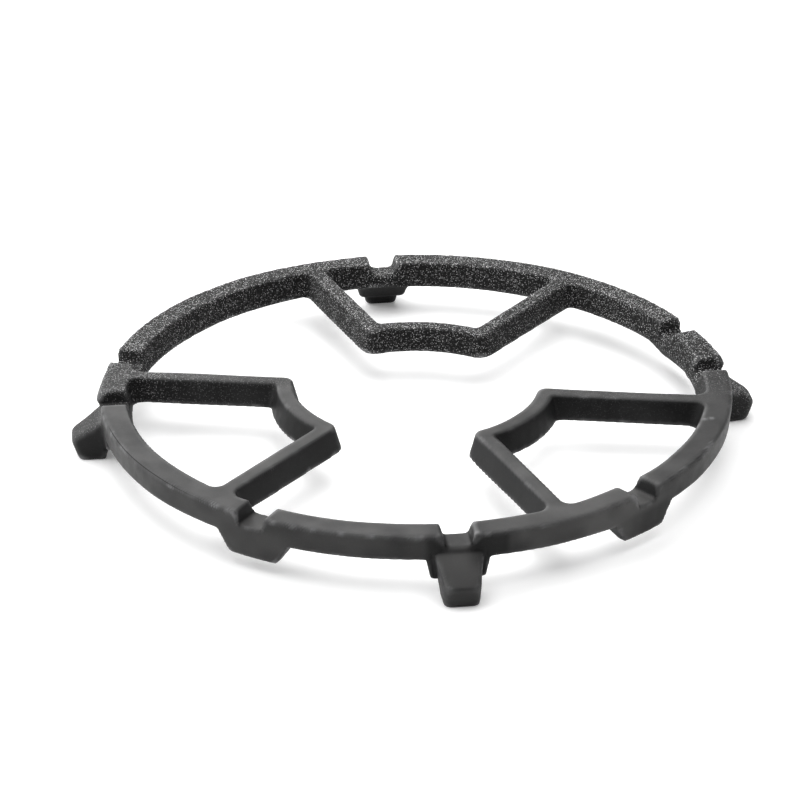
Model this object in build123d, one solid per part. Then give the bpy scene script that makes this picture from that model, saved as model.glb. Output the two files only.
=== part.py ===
"""Cast-iron pan support for a gas hob: a notched ring on four feet, with three loops that reach inwards.

Millimetres, +Z up. The origin is the middle of the ring on the surface that the feet stand on.
Angles are in degrees, clockwise from +Y, seen from above.
"""
import os
from math import radians, sin, tan

from build123d import *

# Ring
ring_diameter = 235.6           # across the outer edge of the top face
ring_top_width = 9.3            # width of the top face
ring_height = 9.1
overall_height = 22.2           # from the soles of the feet to the top face
outer_draft = 4.0               # the outer wall leans inwards going down
inner_draft = 15.0              # the walls of the openings lean inwards going down

# Loops: two legs that run in from the ring, and a curved bar that joins them
loop_count = 3
loop_turn = 12.7                # from the first notch to the first loop's middle line
loop_spread = 60.0              # between the two legs of a loop
leg_offset = 4.5                # from the ring's axis to the middle line of a leg
leg_top_width = 5.6
bar_radius = 49.2               # middle line of a bar
bar_top_width = 5.6
bay_root_radius = 2.6           # corners between legs and ring outside a loop, at the underside
bay_corner_radius = 3.5         # corners between legs and bar outside a loop, at the top face
loop_root_radius = 4.0          # corners between legs and ring inside a loop
loop_corner_radius = 2.2        # corners between legs and bar inside a loop

# Notches that sit over the fingers of a grate, in a pattern of four and a pattern of five
square_fingers = 4
star_fingers = 5
notch_floor_width = 8.7
notch_depth = 5.0
notch_draft = 16.5              # each side of a notch leans outwards going up
notch_root_radius = 1.3

# Lugs that deepen the ring under each notch
lug_drop = 7.8                  # below the underside of the ring
lug_land_width = 3.6            # flat underside of a lug, across the ring
lug_ledge = 1.3                 # underside of the ring left bare inside a lug
lug_land_length = 18.6          # flat underside of a lug, along the ring
foot_lug_length = 21.7          # lug with a foot, where it leaves the ring
plain_lug_length = 28.0         # lug without a foot, where it leaves the ring

# Feet under the notches of the square pattern
foot_length = 11.6              # from the ring's outer edge to the upper edge of the tip
foot_tip_height = 8.0           # upper edge of the tip above the sole
foot_tip_lean = 2.6             # end face, from its upper edge back to the sole
foot_tip_width = 12.4
foot_sole_length = 9.8
foot_sole_width = 10.9          # at the heel
foot_root_width = 16.4
foot_step = 1.3                 # from the notch floor down to the root of the foot
foot_corner_radius = 2.2        # upright corners of the tip

# Rounded and broken edges
outer_edge_radius = 0.8         # outer edge of the top face
notch_lip_radius = 1.0
notch_lip_slope = 15.0          # a lip still rises this much where it meets the top face
broken_edge = 0.35              # the other edges of ring, loops, lugs and soles
foot_broken_edge = 0.7          # edges of the foot's sloping top

# Levels, radii and angles that follow
top_z = overall_height
under_z = top_z - ring_height
lug_z = under_z - lug_drop
floor_z = top_z - notch_depth
ring_radius = ring_diameter / 2
inner_radius = ring_radius - ring_top_width
draft_run = ring_height * tan(radians(inner_draft))
under_inner_radius = inner_radius - draft_run
square_angles = [k * 360 / square_fingers for k in range(square_fingers)]
star_angles = [k * 360 / star_fingers for k in range(1, star_fingers)]
loop_angles = [loop_turn + k * 360 / loop_count for k in range(loop_count)]
bite = 2.0                      # how far lugs, feet and cutters run past the face that they meet
touch = 0.01                    # two levels or radii this close count as the same


def turned(shape, angle):
    """The shape turned clockwise about the ring's axis."""
    return Rot(0, 0, -angle) * shape


def wall_radius(z):
    """Radius of the outer wall at height z."""
    return ring_radius - (top_z - z) * tan(radians(outer_draft))


def axis_distance(point):
    """Distance of a point from the ring's axis."""
    return Vector(point.X, point.Y).length


def edges_between(body, low, high):
    """Edges of the body that lie wholly between two heights."""
    boxes = [(edge, edge.bounding_box()) for edge in body.edges()]
    return [edge for edge, box in boxes if box.min.Z > low - touch and box.max.Z < high + touch]


def sector(offset):
    """Flat wedge about +Y whose two sides pass the ring's axis at the given distance."""
    half_spread = radians(loop_spread / 2)
    apex = offset / sin(half_spread)
    far = apex + ring_diameter
    side = ring_diameter * tan(half_spread)
    return make_face(Polyline((0, apex), (side, far), (-side, far), close=True))


def with_corners(face, distance, radius):
    """The face with those of its corners rounded that lie at one distance from the ring's axis."""
    corners = [v for v in face.vertices() if abs(axis_distance(v) - distance) < touch]
    return fillet(corners, radius)


def drafted(opening):
    """Cutter from the top face to the underside that narrows going down."""
    return extrude(Pos(0, 0, top_z) * opening, amount=-ring_height, taper=inner_draft)


def middle_cutter():
    """Opening in the middle with its bays between the loops."""
    bar_edge = bar_radius - bar_top_width / 2
    loop = sector(leg_offset - leg_top_width / 2) - Circle(bar_edge)
    face = Rot(0, 0, 90) * Circle(inner_radius)
    for angle in loop_angles:
        face -= turned(loop, angle - loop_turn)
    face = with_corners(face, inner_radius, bay_root_radius + draft_run)
    face = with_corners(face, bar_edge, bay_corner_radius)
    return turned(drafted(face), loop_turn)


def plug(low, high, low_radius, high_radius):
    """Round plug about the ring's axis, between two heights."""
    standing = (Align.CENTER, Align.CENTER, Align.MIN)
    return Pos(0, 0, low) * Cone(low_radius, high_radius, high - low, align=standing)


def loop_cutter():
    """Opening inside a loop about +Y, between ring and bar and between the two legs."""
    bar_edge = bar_radius + bar_top_width / 2
    inside_ring = plug(under_z, top_z, under_inner_radius, inner_radius)
    inside_bar = plug(under_z, top_z, bar_edge + draft_run, bar_edge)
    span = (inside_ring - inside_bar) & drafted(sector(leg_offset + leg_top_width / 2))
    middle = (bar_edge + inner_radius) / 2
    corners = [e for e in span.edges() if e.bounding_box().size.Z > ring_height - touch]
    span = fillet([e for e in corners if axis_distance(e @ 0.5) > middle], loop_root_radius)
    corners = [e for e in span.edges() if e.bounding_box().size.Z > ring_height - touch]
    bar_corners = [e for e in corners if axis_distance(e @ 0.5) < bar_edge + draft_run]
    return fillet(bar_corners, loop_corner_radius)


def web():
    """Ring, legs and bars: a disc with drafted openings, wider than the ring until its wall is trimmed."""
    start = wall_radius(under_z) - broken_edge
    end = ring_radius + 2 * bite
    section = make_face(Polyline(
        (0, under_z),
        (start, under_z),
        (end, under_z + end - start),
        (end, top_z),
        (0, top_z),
        close=True))
    openings = [middle_cutter()] + [turned(loop_cutter(), angle) for angle in loop_angles]
    body = revolve(Plane.XZ * section, Axis.Z) - openings
    rims = edges_between(body, under_z, under_z) + edges_between(body, top_z, top_z)
    return chamfer([e for e in rims if axis_distance(e @ 0.5) < inner_radius + touch], broken_edge)


def radial_prism(outline, near, far):
    """Outline in X and Z carried along +Y between two distances from the ring's axis."""
    plane = Plane(origin=(0, near, 0), x_dir=(1, 0, 0), z_dir=(0, -1, 0))
    return extrude(plane * outline, amount=near - far)


def lug(length):
    """Block under a notch at +Y: its inner face and both ends slope in going down."""
    rise = under_z + bite
    start = under_inner_radius + lug_ledge
    end = ring_radius + bite
    section = make_face(Polyline(
        (start, under_z),
        (wall_radius(lug_z) - lug_land_width, lug_z),
        (end, lug_z),
        (end, rise),
        (start + bite, rise),
        close=True))
    half_land = lug_land_length / 2
    half_rise = half_land + (length - lug_land_length) / 2 * (rise - lug_z) / lug_drop
    ends = make_face(Polyline(
        (-half_land, lug_z - bite),
        (half_land, lug_z - bite),
        (half_land, lug_z),
        (half_rise, rise),
        (-half_rise, rise),
        (-half_land, lug_z),
        close=True))
    between_ends = radial_prism(ends, under_inner_radius, ring_radius + 2 * bite)
    return revolve(Plane.XZ * section, Axis.Z) & between_ends


def trimmed(body):
    """The body cut to the leaning outer wall, with broken lug edges and a rounded outer top edge."""
    low = lug_z - bite
    high = top_z + bite
    body = body & plug(low, high, wall_radius(low), wall_radius(high))
    lower = edges_between(body, lug_z, under_z)
    body = chamfer([e for e in lower if e.bounding_box().min.Z < under_z - touch], broken_edge)
    upper = edges_between(body, top_z, top_z)
    return fillet([e for e in upper if axis_distance(e @ 0.5) > ring_radius - touch], outer_edge_radius)


def notch_cutter():
    """Slot across the ring at +Y, open upwards, with rounded roots and lips."""
    half_floor = notch_floor_width / 2
    half_mouth = half_floor + notch_depth * tan(radians(notch_draft))
    half_top = half_mouth + bite / tan(radians(notch_lip_slope))
    face = make_face(Polyline(
        (-half_floor, floor_z),
        (half_floor, floor_z),
        (half_mouth, top_z),
        (half_top, top_z + bite),
        (-half_top, top_z + bite),
        (-half_mouth, top_z),
        close=True))
    face = fillet(face.vertices().group_by(Axis.Y)[0], notch_root_radius)
    face = fillet([v for v in face.vertices() if abs(v.Y - top_z) < touch], notch_lip_radius)
    return radial_prism(face, under_inner_radius - bite, ring_radius + bite)


def foot():
    """Foot at +Y: a stub that runs out and down from below a notch to a flat sole, narrower at its tip."""
    root_z = floor_z - foot_step
    tip = ring_radius + foot_length
    toe = tip - foot_tip_lean
    heel = toe - foot_sole_length
    fall = (root_z - foot_tip_height) / (tip - wall_radius(root_z))
    crown_z = root_z + foot_step * fall
    inside = wall_radius(lug_z) - lug_land_width / 2
    side = make_face(Polyline(
        (wall_radius(root_z) - foot_step, crown_z),
        (tip, foot_tip_height),
        (toe, 0),
        (heel, 0),
        (inside, lug_z + bite),
        close=True))
    side_plane = Plane(origin=(0, 0, 0), x_dir=(0, 1, 0), z_dir=(1, 0, 0))
    profile = extrude(side_plane * side, amount=foot_root_width, both=True)

    def end_face(distance, lower_width, upper_width):
        corners = [(-lower_width / 2, distance, 0), (lower_width / 2, distance, 0),
                   (upper_width / 2, distance, crown_z), (-upper_width / 2, distance, crown_z)]
        return make_face(Polyline(*corners, close=True))

    root_face = end_face(inside, foot_sole_width, foot_root_width)
    tip_face = end_face(tip, foot_tip_width, foot_tip_width)
    block = profile & loft([root_face, tip_face], ruled=True)
    upright = [e for e in block.edges() if (e @ 0.5).Y > toe and abs((e @ 0.5).X) > touch]
    block = fillet(upright, foot_corner_radius)
    slope = block.faces().sort_by(Axis.Z)[-1]
    block = chamfer([e for e in slope.edges() if (e @ 0.5).Z < root_z], foot_broken_edge)
    sole = block.faces().sort_by(Axis.Z)[0]
    return chamfer(sole.edges(), broken_edge)


def pan_support():
    """The whole casting as one solid."""
    lugs = [turned(lug(foot_lug_length), angle) for angle in square_angles]
    lugs += [turned(lug(plain_lug_length), angle) for angle in star_angles]
    notches = [turned(notch_cutter(), angle) for angle in square_angles + star_angles]
    feet = [turned(foot(), angle) for angle in square_angles]
    return trimmed(web() + lugs) - notches + feet


if __name__ == "__main__":
    os.makedirs("parts", exist_ok=True)
    export_step(pan_support(), "parts/pan_support.step")
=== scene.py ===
"""Cast-iron pan support for a gas hob: the casting's sand-cast skin, its black finish and a plain studio.

The skin takes the casting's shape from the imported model, rounds its edges as a sand mould does, and adds
the marks that the mould leaves. Metres, +Z up. Angles about the ring's axis are in degrees, clockwise from
+Y, seen from above. The near half is the one with negative y, and the left is the side with negative x.
"""

import math

import bmesh
import bpy
import numpy as np
from bpy.props import FloatProperty, FloatVectorProperty, IntProperty, PointerProperty
from mathutils import Matrix, Vector


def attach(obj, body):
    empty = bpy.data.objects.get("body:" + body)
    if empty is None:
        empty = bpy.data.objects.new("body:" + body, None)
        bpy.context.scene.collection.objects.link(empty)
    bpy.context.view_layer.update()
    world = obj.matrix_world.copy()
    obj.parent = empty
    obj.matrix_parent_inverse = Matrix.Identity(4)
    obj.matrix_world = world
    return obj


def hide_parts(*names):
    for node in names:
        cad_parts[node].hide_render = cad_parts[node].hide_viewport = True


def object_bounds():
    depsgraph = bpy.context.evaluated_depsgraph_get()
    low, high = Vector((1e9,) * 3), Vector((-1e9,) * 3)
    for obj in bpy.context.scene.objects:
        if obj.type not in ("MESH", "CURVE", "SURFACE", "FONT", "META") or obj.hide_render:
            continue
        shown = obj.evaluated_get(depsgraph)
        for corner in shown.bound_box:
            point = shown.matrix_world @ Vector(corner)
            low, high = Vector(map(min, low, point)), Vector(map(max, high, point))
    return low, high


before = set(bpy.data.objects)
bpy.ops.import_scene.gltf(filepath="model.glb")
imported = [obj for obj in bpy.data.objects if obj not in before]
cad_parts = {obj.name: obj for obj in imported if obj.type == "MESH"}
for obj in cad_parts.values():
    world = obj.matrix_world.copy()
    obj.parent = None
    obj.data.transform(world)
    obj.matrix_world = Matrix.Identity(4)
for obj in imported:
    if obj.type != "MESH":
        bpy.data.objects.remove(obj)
cad_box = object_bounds()

bl_info = {
    "name": "Hob pan support",
    "version": (1, 0, 0),
    "blender": (4, 5, 0),
    "location": "View3D > Sidebar > Pan support",
    "description": "Dresses the pan support's casting and sets up a plain studio around it",
    "category": "Object",
}

CASTING_NODE = "pan_support"

# Numbers that the skin carries for its material, one for each vertex
SANDY = "sandy"
# how much painted light a point gets
PAINTED_LIGHT = "scuffed"
# how worn a point is and how much painted highlight it gets
WORN_AND_HIGHLIT = "worn"
SEAMED = "seamed"
# how much painted shade a point gets
PAINTED_SHADE = "sooty"

# Places on the casting
TOP = cad_box[1].z
FLOOR_LEVEL = TOP - 0.005               # floors of the notches
LUG_LEVEL = TOP - 0.0091                # underside of the ring, where the lugs begin
SEAM_RADIUS = 0.1173                    # circle of the parting seam
FRONT_FOOT_ANGLE = 180
FRONT_LUG_ANGLE = 143                   # middle of the lug at the front right with painted shade

# Painted highlights along the front edge, by angle, and small lumps on the top face, by x and y
GLINT_ANGLES = (175.3, 186.3, 199.5, 204.3, 211.6, 220.5)
BLEMISHES = ((0.1003, -0.0451), (0.1030, -0.0447))

# Smoothing: the share of the way to the mean of its neighbours by which a point is pulled
SOFTENING_PULLS = (0.5, -0.52)          # one after the other, everywhere
EVENING_PULL = 0.25                     # once, on the near half
ROUNDING_PULL = 0.5                     # in each round, where the casting is rounder
WEAR_AND_HIGHLIGHT_ROUNDS = 3                         # rounds of averaging for the wear and painted highlights on edges
MERGE_DISTANCE = 1e-6                   # vertices closer than this become one

# Noise: multipliers that mix a lattice place into a random number, and the seeds of the noises
PLACE_FACTORS = (374761393, 668265263, 1274126177)
SEED_FACTOR = 144665
MIXING = ((13, 1103515245), (16, 69069))
LAST_SHIFT = 15
WORD = 0xFFFFFFFF
HALF_WORD = 0x7FFFFFFF
WAVE_SEED = 1
SAND_SEED = 2
SEAM_SEED = 3
PAINTED_LIGHT_SEED = 4
WEAR_AND_HIGHLIGHT_SEED = 5
MOTTLE_SEED = 6

# Lights: name, place and size
LAMPS = (
    ("overhead", (0.0, 0.0, 1.6), 2.0),
    ("rear", (-0.50, 1.9, 1.0), 2.4),
    ("left", (-1.7, 0.2, 0.75), 1.6),
    ("right", (1.7, 0.2, 0.75), 1.6),
)


class CastingSettings(bpy.types.PropertyGroup):
    """Sizes of the marks that the mould leaves on the casting, and its colours, among them painted light,
    shade and highlights.
    """

    mesh_step: FloatProperty(
        name="Mesh step", description="Size of the skin's faces",
        default=0.00078, unit="LENGTH")
    softening: IntProperty(
        name="Softening", description="Rounds of smoothing that even out the casting's edges",
        default=2)
    extra_softening: IntProperty(
        name="Extra softening", description="Rounds of smoothing where the casting is rounder",
        default=13)
    crispness: FloatProperty(
        name="Crispness", description="How far the near half is drawn back onto the true casting",
        default=0.8, min=0, max=1, subtype="FACTOR")
    fullness: FloatProperty(
        name="Fullness", description="How far the skin stands out, to make up for its rounded edges",
        default=0.00017, unit="LENGTH")
    near_fullness: FloatProperty(
        name="Near fullness", description="Share of the fullness that is added on the near half",
        default=0.4, min=0, max=1, subtype="FACTOR")
    wave_height: FloatProperty(
        name="Wave height", description="How far the walls wander from true",
        default=0.00016, unit="LENGTH")
    wave_length: FloatProperty(
        name="Wave length", description="Spacing of the slow waves in the walls",
        default=0.020, unit="LENGTH")
    sand_height: FloatProperty(
        name="Sand height", description="Depth of the sand's print on the skin",
        default=0.00009, unit="LENGTH")
    sand_length: FloatProperty(
        name="Sand length", description="Spacing of the sand's print on the skin",
        default=0.0016, unit="LENGTH")
    swelling: FloatProperty(
        name="Swelling", description="How far the wall bulges beside the notches at both sides",
        default=0.0016, unit="LENGTH")
    lump_height: FloatProperty(
        name="Lump height", description="Height of the small blemishes on the top face",
        default=0.00025, unit="LENGTH")
    seam_depth: FloatProperty(
        name="Seam depth", description="Depth of the crease along the top face's outer edge",
        default=0.00010, unit="LENGTH")
    seam_width: FloatProperty(
        name="Seam width", description="Half the width of that crease",
        default=0.0006, unit="LENGTH")
    sheen: FloatProperty(
        name="Sheen", description="How strongly the iron reflects, as the shader's specular level",
        default=0.12, min=0, max=1, subtype="FACTOR")
    iron_color: FloatVectorProperty(
        name="Iron", description="Colour of the black iron",
        default=(0.0120, 0.0120, 0.0122), size=3, min=0, max=1, subtype="COLOR")
    # painted shade on walls that face the ring's axis and on a few other darker places
    painted_shade_color: FloatVectorProperty(
        name="Soot", description="Colour of the soot on walls that face the flame",
        default=(0.002, 0.002, 0.002), size=3, min=0, max=1, subtype="COLOR")
    # painted light: greyer iron on outward walls, level faces and the front foot's slope
    painted_light_color: FloatVectorProperty(
        name="Scuffs", description="Colour of the greyer iron on the outer wall and the feet",
        default=(0.070, 0.069, 0.068), size=3, min=0, max=1, subtype="COLOR")
    # lighter iron on edges, partly wear and partly painted highlight
    wear_and_highlight_color: FloatVectorProperty(
        name="Wear", description="Colour of the iron on worn edges",
        default=(0.135, 0.135, 0.137), size=3, min=0, max=1, subtype="COLOR")
    # painted glints on the sand's grains
    glint_color: FloatVectorProperty(
        name="Flecks", description="Colour of the bare grains in the sandy skin",
        default=(1.0, 1.0, 1.0), size=3, min=0, max=1, subtype="COLOR")
    # painted shade along the parting seam's crease
    seam_shade_color: FloatVectorProperty(
        name="Seam", description="Colour of the dark line along the parting seam",
        default=(0.0008, 0.0008, 0.0008), size=3, min=0, max=1, subtype="COLOR")


class StudioSettings(bpy.types.PropertyGroup):
    """Camera, floor and lights."""

    aim: FloatVectorProperty(
        name="Aim", description="Point in the middle of the picture",
        default=(-0.00775, -0.01510, TOP), size=3, subtype="TRANSLATION")
    distance: FloatProperty(
        name="Distance", description="From the camera to the aim point",
        default=0.9752, unit="LENGTH")
    azimuth: FloatProperty(
        name="Azimuth", description="Turn of the camera about the vertical",
        default=math.radians(-6.702), subtype="ANGLE")
    elevation: FloatProperty(
        name="Elevation", description="Height of the camera above the horizon",
        default=math.radians(26.936), subtype="ANGLE")
    roll: FloatProperty(
        name="Roll", description="Turn of the camera about its line of sight",
        default=math.radians(-0.273), subtype="ANGLE")
    lens: FloatProperty(
        name="Lens", description="Focal length in millimetres",
        default=118.8, unit="CAMERA")
    sensor: FloatProperty(
        name="Sensor", description="Width of the camera's sensor in millimetres",
        default=36.0, unit="CAMERA")
    floor_half: FloatProperty(
        name="Floor size", description="Half the length of the floor's sides",
        default=0.85, unit="LENGTH")
    floor_color: FloatVectorProperty(
        name="Floor", description="Colour of the floor",
        default=(0.92, 0.92, 0.92), size=3, min=0, max=1, subtype="COLOR")
    floor_roughness: FloatProperty(
        name="Floor roughness", description="How matte the floor is",
        default=0.9, min=0, max=1, subtype="FACTOR")
    floor_glow: FloatProperty(
        name="Floor glow", description="Light that comes up through the floor",
        default=0.17)
    overhead_power: FloatProperty(
        name="Overhead", description="Power of the light above",
        default=38.0, unit="POWER")
    rear_power: FloatProperty(
        name="Rear", description="Power of the light behind",
        default=57.0, unit="POWER")
    left_power: FloatProperty(
        name="Left", description="Power of the light at the left",
        default=31.5, unit="POWER")
    right_power: FloatProperty(
        name="Right", description="Power of the weak light at the right",
        default=3.0, unit="POWER")
    room_light: FloatProperty(
        name="Room", description="Strength of the light from the room",
        default=0.01)


def lattice_values(cell, seed):
    """A number from -1 to 1 for each whole-number place: its three coordinates and the seed are
    multiplied by large odd numbers, mixed by shifts and exclusive-ors, and the result is scaled."""
    mixed = (cell @ np.array(PLACE_FACTORS) + seed * SEED_FACTOR) & WORD
    for shift, factor in MIXING:
        mixed = ((mixed ^ (mixed >> shift)) * factor) & WORD
    return (mixed ^ (mixed >> LAST_SHIFT)) / HALF_WORD - 1.0


def smooth_noise(points, spacing, seed):
    """Noise from -1 to 1 at points in space: the values at the eight corners of the lattice cell around a
    point are blended along each axis by the quintic step 6t^5 - 15t^4 + 10t^3 of the point's place in the
    cell."""
    place = points / spacing
    base = np.floor(place)
    t = place - base
    step = t * t * t * (t * (t * 6 - 15) + 10)
    cell = base.astype(np.int64)
    total = np.zeros(len(points))
    for corner in np.ndindex(2, 2, 2):
        weight = np.prod(np.where(corner, step, 1 - step), axis=1)
        total += weight * lattice_values(cell + corner, seed)
    return total


def smooth_step(value, low, high):
    """0 below low and 1 above high, with the cubic 3t^2 - 2t^3 between them."""
    t = np.clip((value - low) / (high - low), 0, 1)
    return t * t * (3 - 2 * t)


def band(value, rise, fall):
    """1 between two spans and 0 outside them: a smooth step up over the first and down over the
    second."""
    return smooth_step(value, *rise) * (1 - smooth_step(value, *fall))


def bell(value, width):
    """1 at zero, falling off on both sides as the exponential of minus the square of value over width."""
    return np.exp(-((value / width) ** 2))


def axis_radius(points):
    """Distance of each point from the ring's axis."""
    return np.hypot(points[:, 0], points[:, 1])


def axis_angle(points):
    """Angle of each point about the ring's axis, from 0 to 360."""
    return np.degrees(np.arctan2(points[:, 0], points[:, 1])) % 360


def across_foot(points):
    """Distance of each point from the middle line of the nearest foot: the smaller of its two offsets."""
    return np.abs(points[:, :2]).min(axis=1)


def outwardness(points, normals):
    """The part of each normal that points straight away from the ring's axis."""
    return (points[:, :2] * normals[:, :2]).sum(axis=1) / axis_radius(points)


def nearness(points):
    """1 on the near half, falling to 0 on the far half by a smooth step across the middle."""
    middle = (-0.02, 0.02)
    return 1 - smooth_step(points[:, 1], *middle)


def neighbour_mean(values, edges):
    """Mean of the values at the vertices that share an edge with each vertex."""
    count = np.bincount(edges.ravel(), minlength=len(values))
    ends = np.concatenate([edges[:, 0], edges[:, 1]])
    others = np.concatenate([edges[:, 1], edges[:, 0]])
    sums = [np.bincount(ends, column[others], minlength=len(values)) for column in values.T]
    return np.stack(sums, axis=1) / count[:, None]


def pulled(points, edges, share):
    """The points moved by a share of the way to the mean of their neighbours."""
    return points + share * (neighbour_mean(points, edges) - points)


def read_array(collection, name, width, kind):
    """One property of a mesh collection as an array with a row for each item."""
    values = np.empty(len(collection) * width, kind)
    collection.foreach_get(name, values)
    return values.reshape(-1, width)


def read_places(mesh):
    """Places of the mesh's vertices."""
    return read_array(mesh.vertices, "co", 3, np.float32).astype(np.float64)


def set_places(mesh, points):
    """Puts the mesh's vertices at the points."""
    mesh.vertices.foreach_set("co", points.astype(np.float32).ravel())
    mesh.update()


def modified_mesh(mesh, kind, **values):
    """A new mesh: the given one after a modifier of one kind, with the values set on it."""
    holder = bpy.data.objects.new("holder", mesh)
    bpy.context.scene.collection.objects.link(holder)
    modifier = holder.modifiers.new("modifier", kind)
    for name, value in values.items():
        setattr(modifier, name, value)
    ready = holder.evaluated_get(bpy.context.evaluated_depsgraph_get())
    result = bpy.data.meshes.new_from_object(ready)
    bpy.data.objects.remove(holder)
    return result


def even_mesh(node, step):
    """The node's shape with faces of one size: a copy of its mesh is merged along its edges and rebuilt
    from small cubes."""
    copy = node.data.copy()
    work = bmesh.new()
    work.from_mesh(copy)
    bmesh.ops.remove_doubles(work, verts=work.verts, dist=MERGE_DISTANCE)
    work.to_mesh(copy)
    work.free()
    mesh = modified_mesh(copy, "REMESH", mode="VOXEL", voxel_size=step)
    bpy.data.meshes.remove(copy)
    return mesh


def nearest_places(mesh, node):
    """The place on the node's own surface that lies nearest to each vertex of the mesh."""
    wrapped = modified_mesh(mesh, "SHRINKWRAP", target=node, wrap_method="NEAREST_SURFACEPOINT")
    places = read_places(wrapped)
    bpy.data.meshes.remove(wrapped)
    return places


def as_cast(points):
    """The points with each foot spread sideways at its root and drawn in at its tip, and the ring a
    little deeper at the rear: across a foot, a point is moved by a share of its distance from the foot's
    middle that falls evenly with the radius, and at the rear the underside is lowered by a smooth
    step."""
    root_share, share_fall = 0.12, 0.17
    root_radius, foot_length = 0.1175, 0.012
    outside_ring, beside_foot = (0.1160, 0.1180), (0.0084, 0.0092)
    notch_floor = (FLOOR_LEVEL - 0.001, FLOOR_LEVEL)
    rear_sag = 0.0006
    rear, below_top, above_lugs = (0.03, 0.09), (0.004, 0.0085), (0.009, 0.0125)
    x, y, z = points.T
    radius = axis_radius(points)
    share = root_share - share_fall * np.clip((radius - root_radius) / foot_length, 0, 1)
    share *= smooth_step(radius, *outside_ring) * (1 - smooth_step(z, *notch_floor))
    share *= 1 - smooth_step(across_foot(points), *beside_foot)
    along_y = np.abs(y) > np.abs(x)
    sag = rear_sag * smooth_step(y, *rear) * smooth_step(TOP - z, *below_top) * smooth_step(z, *above_lugs)
    return np.stack([x * (1 + share * along_y), y * (1 + share * ~along_y), z - sag], axis=1)


def extra_rounding(points):
    """1 on the lug and the foot at the rear, below the ring, at the tip of the foot at the right, and on
    the step at the root of each foot, and less at the tip of the foot at the left. The steps fade to 0 as
    bell curves, and the others by smooth steps."""
    rear, under_ring = (0.098, 0.104), (LUG_LEVEL - 0.0025, LUG_LEVEL - 0.0003)
    tip, left_share = (0.1200, 0.1235), 0.3
    step_radius, step_level, step_width, foot_width = 0.1172, FLOOR_LEVEL - 0.0008, 0.0016, (0.006, 0.009)
    x, y, z = points.T
    rear_foot = smooth_step(y, *rear) * (1 - smooth_step(z, *under_ring))
    tips = smooth_step(x, *tip) + left_share * smooth_step(-x, *tip)
    steps = bell(axis_radius(points) - step_radius, step_width) * bell(z - step_level, step_width)
    steps *= 1 - smooth_step(across_foot(points), *foot_width)
    return np.maximum.reduce([rear_foot, tips, steps])


def cast_shape(mesh, node, edges, settings):
    """Places of the skin's vertices before the mould's marks. Each round of softening pulls the points
    towards the mean of their neighbours, and then a little further away from it. The near half is drawn
    onto the true casting and evened once. Then comes the form as cast, and the rounder places are pulled
    towards the mean again."""
    points = read_places(mesh)
    for _ in range(settings.softening):
        for pull in SOFTENING_PULLS:
            points = pulled(points, edges, pull)
    set_places(mesh, points)
    near = nearness(points)[:, None]
    points += settings.crispness * near * (nearest_places(mesh, node) - points)
    points = as_cast(pulled(points, edges, EVENING_PULL * near))
    rounding = ROUNDING_PULL * extra_rounding(points)[:, None]
    for _ in range(settings.extra_softening):
        points = pulled(points, edges, rounding)
    return points


def sandiness(points, normals):
    """How much of the sand's print shows at each point: full on the far half above the lugs, almost none
    on the near half, with a border that lies nearer at the right and is wider on the loops, and about
    half at the left. Some shows on the sloping tops of the feet at both sides, and a dusting at the
    right. Each fades out by smooth steps, and the largest counts. Walls show less than level faces."""
    slant, start, width, loop_width = 0.04, -0.008, 0.014, 0.034
    on_ring, above_lugs, below_share = (0.060, 0.112), (LUG_LEVEL - 0.0015, LUG_LEVEL), 0.05
    left, left_end, left_loss = (0.03, 0.09), (0.015, 0.045), 0.55
    side_feet, sloping, right_foot_share, left_foot_share = (0.1165, 0.1185), (0.3, 0.6), 0.8, 0.14
    right, right_start, dust_share = (0.030, 0.100), (-0.035, -0.004), 0.25
    least, wall_share = 0.006, 0.27
    x, y, z = points.T
    up = normals[:, 2]
    on_loops = 1 - smooth_step(axis_radius(points), *on_ring)
    far = smooth_step((y + slant * x - start) / (width + loop_width * on_loops), 0, 1)
    far *= below_share + (1 - below_share) * smooth_step(z, *above_lugs)
    far *= 1 - left_loss * smooth_step(-x, *left) * (1 - smooth_step(y, *left_end))
    feet = np.where(x > 0, right_foot_share, left_foot_share) * smooth_step(np.abs(x), *side_feet)
    feet *= smooth_step(up, *sloping)
    dust = dust_share * smooth_step(x, *right) * smooth_step(y, *right_start)
    shown = np.maximum.reduce([far, feet, dust])
    return least + (1 - least) * shown * (wall_share + (1 - wall_share) * up.clip(0, 1))


def painted_shading(points, normals):
    """How much painted shade each point gets: full on walls that face the ring's axis, and none on walls
    that face away from it or on faces that look up. The wall on both sides of the front foot, the lug at the
    front right, the rear loop and the foot at the left get painted shade too, each where a product of smooth
    steps or bells says."""
    toward_axis, upward = (-0.2, 0.7), (0.4, 0.8)
    patch_share, patch_rise, patch_fall = 0.8, (171.0, 172.2), (184.5, 186.0)
    past_notch, past_wall = (2.0, 3.0), (0.1185, 0.1195)
    loop_share, rear, on_ring = 0.8, (0.0, 0.03), (0.104, 0.108)
    lug_share, lug_width, above_lug = 0.6, 6.5, (FLOOR_LEVEL - 0.004, FLOOR_LEVEL)
    foot_share, left_foot = 0.45, (0.1175, 0.1195)
    x, y, z = points.T
    radius = axis_radius(points)
    angle = axis_angle(points)
    facing = smooth_step(-outwardness(points, normals), *toward_axis)
    patch = patch_share * band(angle, patch_rise, patch_fall) * (1 - smooth_step(radius, *past_wall))
    patch *= smooth_step(np.abs(angle - FRONT_FOOT_ANGLE), *past_notch)
    loop = loop_share * smooth_step(y, *rear) * (1 - smooth_step(radius, *on_ring))
    lug = lug_share * bell(angle - FRONT_LUG_ANGLE, lug_width) * (1 - smooth_step(z, *above_lug))
    walls = np.maximum.reduce([facing, patch, loop, lug]) * (1 - smooth_step(normals[:, 2], *upward))
    return np.maximum(walls, foot_share * smooth_step(-x, *left_foot))


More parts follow.
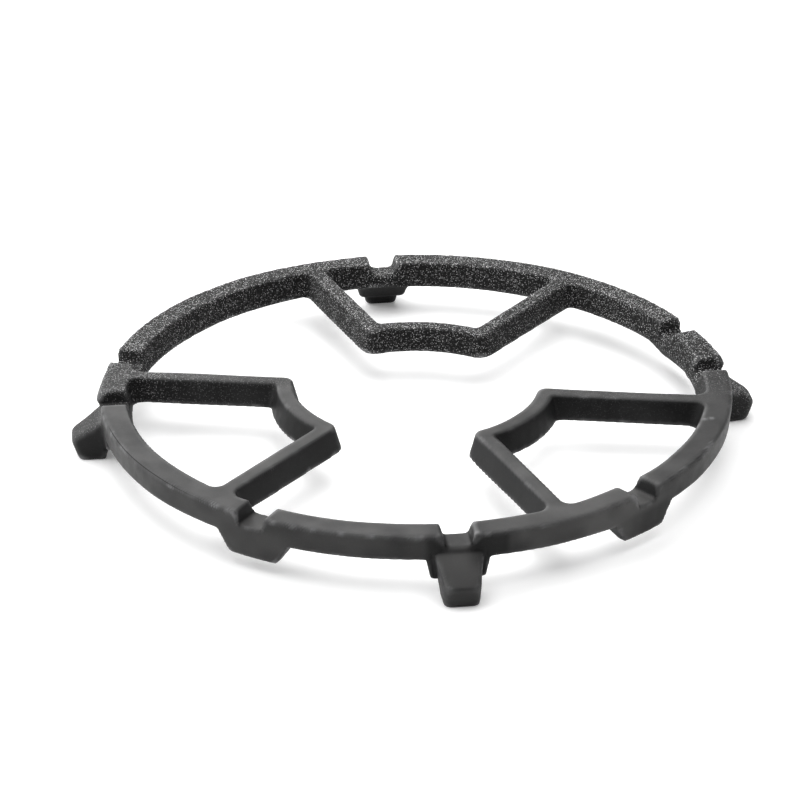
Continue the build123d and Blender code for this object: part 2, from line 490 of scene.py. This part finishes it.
def painted_lighting(points, normals):
    """How much painted light each point gets, as greyer iron: on the outer wall, the part of its normal that
    points away from the ring's axis, more at the front right and none where painted shade lies; on level
    faces, about half where no sand shows, and less at the right; on the front foot, its sloping top. Each
    fades out by smooth steps, and the largest counts, in patches that follow two noises."""
    on_wall, outward, wall_share = (0.112, 0.116), (0.2, 0.8), 0.45
    front_share, front_rise, front_fall = 0.7, (140, 150), (168, 172)
    on_foot, sloping, front, slope_share = (0.117, 0.119), (0.3, 0.7), (0.03, 0.06), 1.2
    level, past_ring, level_share = (0.5, 0.9), (0.118, 0.119), 0.68
    sand_loss, right, right_loss = 0.7, (0.06, 0.10), 0.45
    patch_mean, slow_patch, slow_length, fine_patch, fine_length = 0.7, 0.4, 0.03, 0.35, 0.007
    radius = axis_radius(points)
    up = normals[:, 2]
    wall = smooth_step(radius, *on_wall) * smooth_step(outwardness(points, normals), *outward)
    wall *= wall_share + front_share * band(axis_angle(points), front_rise, front_fall)
    wall *= 1 - painted_shading(points, normals)
    slope = slope_share * smooth_step(radius, *on_foot) * smooth_step(up, *sloping)
    slope *= smooth_step(-points[:, 1], *front)
    tops = level_share * smooth_step(up, *level) * (1 - sand_loss * sandiness(points, normals))
    tops *= (1 - smooth_step(radius, *past_ring)) * (1 - right_loss * smooth_step(points[:, 0], *right))
    shown = np.maximum.reduce([wall, slope, tops])
    patches = patch_mean + slow_patch * smooth_noise(points, slow_length, PAINTED_LIGHT_SEED)
    patches += fine_patch * smooth_noise(points, fine_length, MOTTLE_SEED)
    return shown.clip(0, 1) * patches.clip(0, 1)


def blemishes(points):
    """Small lumps on the top face at the right: bell curves of the distance from the middle of each, seen
    from above."""
    width, on_top = 0.0009, (TOP - 0.001, TOP - 0.0003)
    lumps = [bell(np.hypot(points[:, 0] - x, points[:, 1] - y), width) for x, y in BLEMISHES]
    return np.maximum.reduce(lumps) * smooth_step(points[:, 2], *on_top)


def wear_and_highlights(points, normals, edges):
    """How worn and highlit each point is, as one lighter colour that is partly wear and partly painted
    highlight: the height of the point above the mean of its neighbours, which is large on sharp outward
    edges, averaged over its own neighbours a few times, in patches that follow a noise, and painted
    highlights in a few small spots along the front. The blemishes are as bright."""
    sharp = (0.000025, 0.000085)
    least, patch_length, patchy = 0.3, 0.005, (0.2, 0.7)
    glint, glint_width = 0.9, 0.8
    height = ((points - neighbour_mean(points, edges)) * normals).sum(axis=1, keepdims=True)
    for _ in range(WEAR_AND_HIGHLIGHT_ROUNDS):
        height = neighbour_mean(height, edges)
    patches = least + (1 - least) * smooth_step(smooth_noise(points, patch_length, WEAR_AND_HIGHLIGHT_SEED), *patchy)
    angle = axis_angle(points)
    # painted highlights in small spots along the front edge
    for place in GLINT_ANGLES:
        patches = np.maximum(patches, glint * bell(angle - place, glint_width))
    return np.maximum(smooth_step(height[:, 0], *sharp) * patches, blemishes(points)).clip(0, 1)


def seaming(points):
    """How clearly the parting seam shows along the ring: full at the front left, fading to a broken trace
    that follows a noise elsewhere."""
    front_share, front_rise, front_fall = 0.8, (222, 240), (256, 260)
    trace_share, trace_length, broken = 0.2, 0.012, (0.1, 0.6)
    front_left = band(axis_angle(points), front_rise, front_fall)
    trace = smooth_step(smooth_noise(points * (1, 1, 0), trace_length, SEAM_SEED), *broken)
    return np.maximum(front_share * front_left, trace_share * trace)


def swellings(points):
    """Bulges of the outer wall at the far ends of the notches at both sides: bell curves along the ring,
    narrow towards the notch and wide away from it, and over the height, faded out over the inner part of
    the ring."""
    left_angle, right_angle = 272.8, 87.2
    notch_side, far_side = 1.6, 5.0
    level, height, on_wall = FLOOR_LEVEL + 0.0018, 0.0026, (0.1155, 0.1172)
    angle = axis_angle(points)
    past_notch = np.stack([angle - left_angle, right_angle - angle])
    along = bell(past_notch, np.where(past_notch < 0, notch_side, far_side)).sum(axis=0)
    return along * bell(points[:, 2] - level, height) * smooth_step(axis_radius(points), *on_wall)


def mould_marks(points, normals, settings):
    """Height of the skin above the true casting at each point: the fullness, larger on the near half, and
    slow waves, the finer print of the sand, the swellings and the blemishes, less a crease where the
    parting seam runs along the outer edge of the top face. The crease's depth falls off as a bell curve
    with the distance from the seam's circle. The soles stay flat."""
    seam_level, above_soles = TOP - 0.0003, (0.0002, 0.0015)
    marks = settings.wave_height * smooth_noise(points, settings.wave_length, WAVE_SEED)
    sand = smooth_noise(points, settings.sand_length, SAND_SEED)
    marks += settings.sand_height * sandiness(points, normals) * sand
    marks += settings.swelling * swellings(points)
    marks += settings.lump_height * blemishes(points)
    distance = np.hypot(axis_radius(points) - SEAM_RADIUS, points[:, 2] - seam_level)
    marks -= settings.seam_depth * seaming(points) * bell(distance, settings.seam_width)
    fullness = settings.fullness * (1 + settings.near_fullness * nearness(points))
    return fullness + marks * smooth_step(points[:, 2], *above_soles)


def add_attribute(mesh, name, values):
    """Stores one number for each vertex, for the material to read."""
    layer = mesh.attributes.new(name, "FLOAT", "POINT")
    layer.data.foreach_set("value", values.astype(np.float32))


def add_node(tree, kind, **inputs):
    """A new node with values set on its inputs, whose names have underscores for spaces."""
    node = tree.nodes.new(kind)
    for name, value in inputs.items():
        node.inputs[name.replace("_", " ")].default_value = value
    return node


def pattern(tree, kind, place, **inputs):
    """The outputs of a texture node that reads the given place."""
    node = add_node(tree, kind, **inputs)
    tree.links.new(place, node.inputs["Vector"])
    return node.outputs


def cell_numbers(tree, cells):
    """Three random numbers for each cell of a Voronoi pattern, as outputs named Red, Green and Blue."""
    node = tree.nodes.new("ShaderNodeSeparateColor")
    tree.links.new(cells["Color"], node.inputs["Color"])
    return node.outputs


def attribute(tree, name):
    """The output that gives one of the skin's own numbers."""
    node = tree.nodes.new("ShaderNodeAttribute")
    node.attribute_name = name
    return node.outputs["Fac"]


def calculate(tree, operation, first, second):
    """The output of a sum with two inputs, each an output of another node or a number."""
    node = tree.nodes.new("ShaderNodeMath")
    node.operation = operation
    for socket, value in zip(node.inputs, (first, second)):
        if isinstance(value, (int, float)):
            socket.default_value = value
        else:
            tree.links.new(value, socket)
    return node.outputs["Value"]


def remap(tree, value, low, high, new_low=0.0, new_high=1.0):
    """The output that carries a value from one range to another, held at its ends."""
    node = add_node(tree, "ShaderNodeMapRange", From_Min=low, From_Max=high, To_Min=new_low, To_Max=new_high)
    tree.links.new(value, node.inputs["Value"])
    return node.outputs["Result"]


def mix_color(tree, factor, under, over):
    """The output that mixes a plain colour over the colour that another node gives."""
    node = tree.nodes.new("ShaderNodeMix")
    node.data_type = "RGBA"
    first, second = [socket for socket in node.inputs if socket.type == "RGBA"]
    tree.links.new(factor, node.inputs["Factor"])
    tree.links.new(under, first)
    second.default_value = (*over, 1)
    return next(socket for socket in node.outputs if socket.type == "RGBA")


def cloudy_iron(tree, clouds, color):
    """The output that gives the iron's colour, darker and lighter in clouds."""
    darkest, lightest = 0.6, 1.5
    node = tree.nodes.new("ShaderNodeValToRGB")
    dark, light = node.color_ramp.elements
    dark.position, light.position = 0.3, 0.7
    dark.color = (*[darkest * part for part in color], 1)
    light.color = (*[lightest * part for part in color], 1)
    tree.links.new(clouds, node.inputs["Fac"])
    return node.outputs["Color"]


def grain_glints(tree, place, sandy, worn):
    """The output that says where the grains carry painted glints: small round dots, one in each cell of a
    Voronoi pattern, as bright as the square of the cell's random number, shown where the skin is sandy, and
    up to twice as much on worn and highlit edges."""
    dot_radius, dot_edge = 0.30, 0.44
    darkest, brightest = 0.12, 1.0
    full_wear_and_highlight, edge_glint_gain = 0.5, 2.0
    cells = pattern(tree, "ShaderNodeTexVoronoi", place, Scale=2000.0, Randomness=0.85)
    dots = remap(tree, cells["Distance"], dot_radius, dot_edge, 1.0, 0.0)
    chance = remap(tree, cell_numbers(tree, cells)["Red"], darkest, brightest)
    glinting = calculate(tree, "MULTIPLY", calculate(tree, "POWER", chance, 2.0), dots)
    shown = calculate(tree, "MULTIPLY", sandy, remap(tree, worn, 0.0, full_wear_and_highlight, 1.0, edge_glint_gain))
    return calculate(tree, "MINIMUM", calculate(tree, "MULTIPLY", glinting, shown), 1.0)


def seam_shade_line(tree, place):
    """The output that is 1 on the painted shade along the parting seam's crease: close to its circle about
    the ring's axis, near the top face, and as far as the skin's own number says."""
    half_line, line_edge = 0.00005, 0.00025
    lowest, full_level = TOP - 0.0014, TOP - 0.0010
    axes = tree.nodes.new("ShaderNodeSeparateXYZ")
    tree.links.new(place, axes.inputs["Vector"])
    squares = [calculate(tree, "POWER", axes.outputs[axis], 2.0) for axis in "XY"]
    radius = calculate(tree, "SQRT", calculate(tree, "ADD", *squares), 0.0)
    off_seam = calculate(tree, "ABSOLUTE", calculate(tree, "SUBTRACT", radius, SEAM_RADIUS), 0.0)
    line = remap(tree, off_seam, half_line, line_edge, 1.0, 0.0)
    line = calculate(tree, "MULTIPLY", line, remap(tree, axes.outputs["Z"], lowest, full_level))
    return calculate(tree, "MULTIPLY", line, attribute(tree, SEAMED))


def iron_roughness(tree, place, clouds, line, sandy, sooty):
    """The output that gives the iron's roughness: in clouds and finer blotches, with more on sand, on the
    seam and where painted shade lies."""
    smoothest, roughest = 0.38, 0.58
    blotch, blotch_low, blotch_high = 0.06, 0.25, 0.75
    sand_share, shaded_roughness_share = 0.14, 0.15
    blotches = pattern(tree, "ShaderNodeTexNoise", place, Scale=240.0, Detail=4.0, Roughness=0.7)["Fac"]
    parts = [
        remap(tree, clouds, 0.0, 1.0, smoothest, roughest),
        remap(tree, blotches, blotch_low, blotch_high, -blotch, blotch),
        calculate(tree, "MULTIPLY", calculate(tree, "MAXIMUM", line, sandy), sand_share),
        calculate(tree, "MULTIPLY", sooty, shaded_roughness_share),
    ]
    rough = parts[0]
    for part in parts[1:]:
        rough = calculate(tree, "ADD", rough, part)
    return rough


def sandy_relief(tree, place, sandy):
    """The output that gives the bumped normal: a dome in each cell of a Voronoi pattern, as high as the
    cell's random number, where the skin is sandy."""
    grains = pattern(tree, "ShaderNodeTexVoronoi", place, Scale=2700.0)
    domes = calculate(tree, "MULTIPLY", grains["Distance"], cell_numbers(tree, grains)["Green"])
    bump = add_node(tree, "ShaderNodeBump", Strength=1.0, Distance=0.0006)
    bump.invert = True
    tree.links.new(calculate(tree, "MULTIPLY", domes, sandy), bump.inputs["Height"])
    return bump.outputs["Normal"]


def iron_material(settings):
    """Matte black cast iron: a sandy skin with painted glints on its grains, and pits, that fades to a
    smoother, cloudy one, with painted shade on walls, painted light on outward and level faces, worn edges
    with painted highlights and painted shade along the seam, where the skin's own numbers say so."""
    painted_shade_cover = 0.45
    material = bpy.data.materials.new("black_cast_iron")
    material.use_nodes = True
    tree = material.node_tree
    shader = tree.nodes["Principled BSDF"]
    shader.inputs["Specular IOR Level"].default_value = settings.sheen
    place = tree.nodes.new("ShaderNodeTexCoord").outputs["Object"]
    sandy, scuffed, worn, sooty = [attribute(tree, name) for name in (SANDY, PAINTED_LIGHT, WORN_AND_HIGHLIT, PAINTED_SHADE)]
    clouds = pattern(tree, "ShaderNodeTexNoise", place, Scale=60.0, Detail=5.0, Roughness=0.62)["Fac"]
    line = seam_shade_line(tree, place)

    paint = cloudy_iron(tree, clouds, settings.iron_color)
    # painted shade, painted light, wear with painted highlights, painted grain glints and painted seam shade
    # go over the iron in turn
    for factor, color in (
        (calculate(tree, "MULTIPLY", sooty, painted_shade_cover), settings.painted_shade_color),
        (scuffed, settings.painted_light_color),
        (worn, settings.wear_and_highlight_color),
        (grain_glints(tree, place, sandy, worn), settings.glint_color),
        (line, settings.seam_shade_color),
    ):
        paint = mix_color(tree, factor, paint, color)
    tree.links.new(paint, shader.inputs["Base Color"])
    rough = iron_roughness(tree, place, clouds, line, sandy, sooty)
    tree.links.new(rough, shader.inputs["Roughness"])
    tree.links.new(sandy_relief(tree, place, sandy), shader.inputs["Normal"])
    return material


class PANSUPPORT_OT_casting(bpy.types.Operator):
    """Makes the casting's skin: even faces, softened edges, the mould's marks and the iron's finish"""

    bl_idname = "pansupport.casting"
    bl_label = "Make casting"

    def execute(self, context):
        settings = context.scene.pan_support_casting
        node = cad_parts[CASTING_NODE]
        mesh = even_mesh(node, settings.mesh_step)
        edges = read_array(mesh.edges, "vertices", 2, np.int32)
        points = cast_shape(mesh, node, edges, settings)
        set_places(mesh, points)
        normals = read_array(mesh.vertex_normals, "vector", 3, np.float32).astype(np.float64)
        worn = wear_and_highlights(points, normals, edges)
        points += normals * mould_marks(points, normals, settings)[:, None]
        points[:, 2] = np.maximum(points[:, 2], 0)
        mesh.polygons.foreach_set("use_smooth", np.ones(len(mesh.polygons), bool))
        set_places(mesh, points)
        # the numbers for painted light, wear with painted highlights and painted shade go on the skin with
        # those for sand and seam
        add_attribute(mesh, SANDY, sandiness(points, normals))
        add_attribute(mesh, PAINTED_LIGHT, painted_lighting(points, normals))
        add_attribute(mesh, WORN_AND_HIGHLIT, worn)
        add_attribute(mesh, SEAMED, seaming(points))
        add_attribute(mesh, PAINTED_SHADE, painted_shading(points, normals))
        mesh.materials.clear()
        mesh.materials.append(iron_material(settings))
        skin = bpy.data.objects.new("casting_skin", mesh)
        mesh.name = skin.name
        context.scene.collection.objects.link(skin)
        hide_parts(CASTING_NODE)
        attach(skin, "root")
        return {"FINISHED"}


def add_floor(settings):
    """A square, pale, matte floor that glows a little, as a lit table does."""
    half = settings.floor_half
    corners = [(-half, -half, 0), (half, -half, 0), (half, half, 0), (-half, half, 0)]
    mesh = bpy.data.meshes.new("floor")
    mesh.from_pydata(corners, [], [(0, 1, 2, 3)])
    material = bpy.data.materials.new("pale_floor")
    material.use_nodes = True
    inputs = material.node_tree.nodes["Principled BSDF"].inputs
    inputs["Base Color"].default_value = (*settings.floor_color, 1)
    inputs["Roughness"].default_value = settings.floor_roughness
    inputs["Emission Color"].default_value = (1, 1, 1, 1)
    inputs["Emission Strength"].default_value = settings.floor_glow
    mesh.materials.append(material)
    floor = bpy.data.objects.new("floor", mesh)
    bpy.context.scene.collection.objects.link(floor)


def add_lamp(name, place, size, power):
    """A square soft light that faces the middle of the floor."""
    middle = Vector((0, 0, 0))
    data = bpy.data.lights.new(name, "AREA")
    data.size = size
    data.energy = power
    lamp = bpy.data.objects.new(name, data)
    lamp.location = place
    lamp.rotation_euler = (middle - Vector(place)).to_track_quat("-Z", "Y").to_euler()
    lamp.visible_camera = False
    bpy.context.scene.collection.objects.link(lamp)


def pale_room(strength):
    """A white world that is seen at full strength, and that lights the object only weakly."""
    world = bpy.data.worlds.new("room")
    world.use_nodes = True
    tree = world.node_tree
    background = tree.nodes["Background"]
    background.inputs["Color"].default_value = (1, 1, 1, 1)
    rays = tree.nodes.new("ShaderNodeLightPath")
    seen = remap(tree, rays.outputs["Is Camera Ray"], 0.0, 1.0, strength, 1.0)
    tree.links.new(seen, background.inputs["Strength"])
    return world


def add_camera(settings):
    """A camera that looks at the aim point from a distance, an azimuth and an elevation."""
    data = bpy.data.cameras.new("camera")
    data.sensor_width = settings.sensor
    data.lens = settings.lens
    camera = bpy.data.objects.new("camera", data)
    level = math.cos(settings.elevation)
    back = Vector((
        math.sin(settings.azimuth) * level,
        -math.cos(settings.azimuth) * level,
        math.sin(settings.elevation)))
    turn = (-back).to_track_quat("-Z", "Y").to_matrix() @ Matrix.Rotation(settings.roll, 3, "Z")
    camera.matrix_world = Matrix.LocRotScale(Vector(settings.aim) + settings.distance * back, turn, None)
    bpy.context.scene.collection.objects.link(camera)
    bpy.context.scene.camera = camera


class PANSUPPORT_OT_studio(bpy.types.Operator):
    """Sets up the floor, the lights and the camera"""

    bl_idname = "pansupport.studio"
    bl_label = "Set up studio"

    def execute(self, context):
        settings = context.scene.pan_support_studio
        add_floor(settings)
        for name, place, size in LAMPS:
            add_lamp(name, place, size, getattr(settings, f"{name}_power"))
        context.scene.world = pale_room(settings.room_light)
        context.scene.view_settings.view_transform = "Standard"
        add_camera(settings)
        return {"FINISHED"}


class PANSUPPORT_PT_panel(bpy.types.Panel):
    """Lists the pan support's operators and settings"""

    bl_idname = "PANSUPPORT_PT_panel"
    bl_label = "Pan support"
    bl_space_type = "VIEW_3D"
    bl_region_type = "UI"
    bl_category = "Pan support"

    def draw(self, context):
        for operator, settings in (
            (PANSUPPORT_OT_casting, context.scene.pan_support_casting),
            (PANSUPPORT_OT_studio, context.scene.pan_support_studio),
        ):
            box = self.layout.box()
            for name in settings.__annotations__:
                box.prop(settings, name)
            box.operator(operator.bl_idname)


CLASSES = (CastingSettings, StudioSettings, PANSUPPORT_OT_casting, PANSUPPORT_OT_studio, PANSUPPORT_PT_panel)


def register():
    for cls in CLASSES:
        bpy.utils.register_class(cls)
    bpy.types.Scene.pan_support_casting = PointerProperty(type=CastingSettings)
    bpy.types.Scene.pan_support_studio = PointerProperty(type=StudioSettings)


def unregister():
    del bpy.types.Scene.pan_support_studio
    del bpy.types.Scene.pan_support_casting
    for cls in reversed(CLASSES):
        bpy.utils.unregister_class(cls)


def main():
    register()
    bpy.ops.pansupport.casting()
    bpy.ops.pansupport.studio()


if __name__ == "__main__":
    main()
